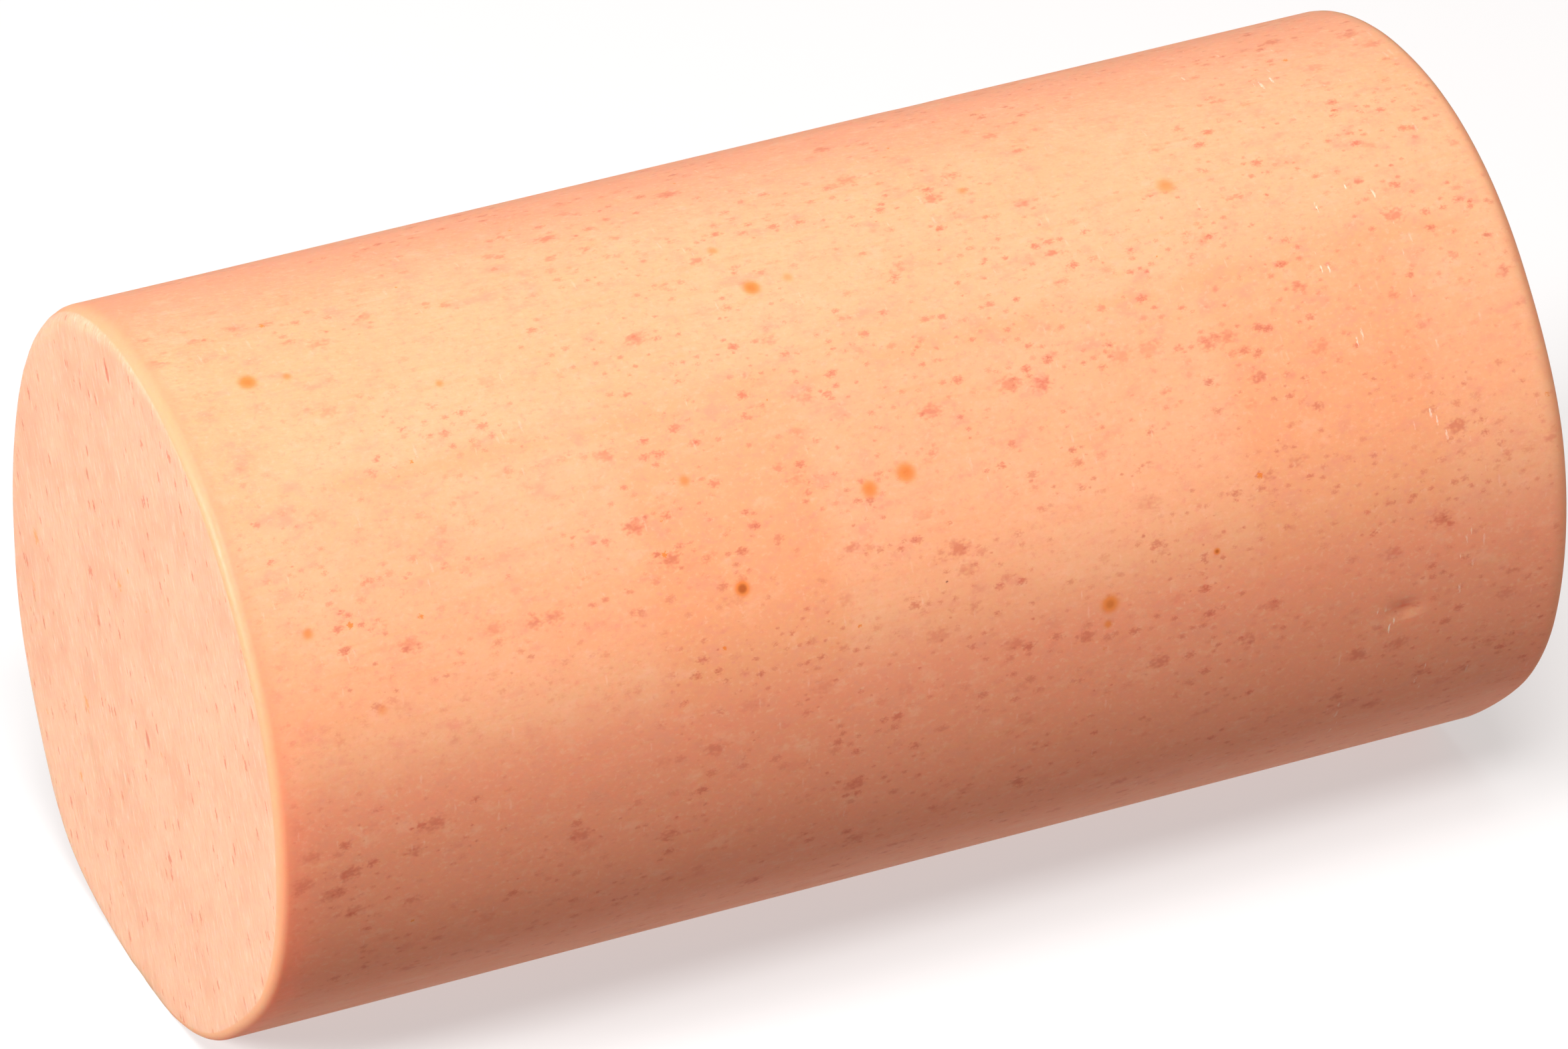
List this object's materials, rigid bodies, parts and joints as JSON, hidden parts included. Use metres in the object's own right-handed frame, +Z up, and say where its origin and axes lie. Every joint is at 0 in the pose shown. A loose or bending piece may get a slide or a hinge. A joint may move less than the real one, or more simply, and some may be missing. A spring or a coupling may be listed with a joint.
{
  "type": "cured sausage",
  "caption": "Chunk of fine cooked sausage: a soft round log of pale pink meat, peeled, cut flat across at both ends and lying on its side, ready to slice.",
  "frame": {"origin": "on the surface that the sausage lies on, under the middle of its bounding box", "axes": "+Z up, +X along the sausage from the near cut face to the far one, +Y to the back"},
  "size_m": [0.13, 0.0676, 0.0691],
  "materials": {
    "sausage_meat": "moist satin meat, pale yellow-orange outside with pink and amber flecks, paler pink and finely streaked on the cut faces"
  },
  "bodies": {
    "root": {"sausage": "sausage_meat"}
  },
  "joints": []
}
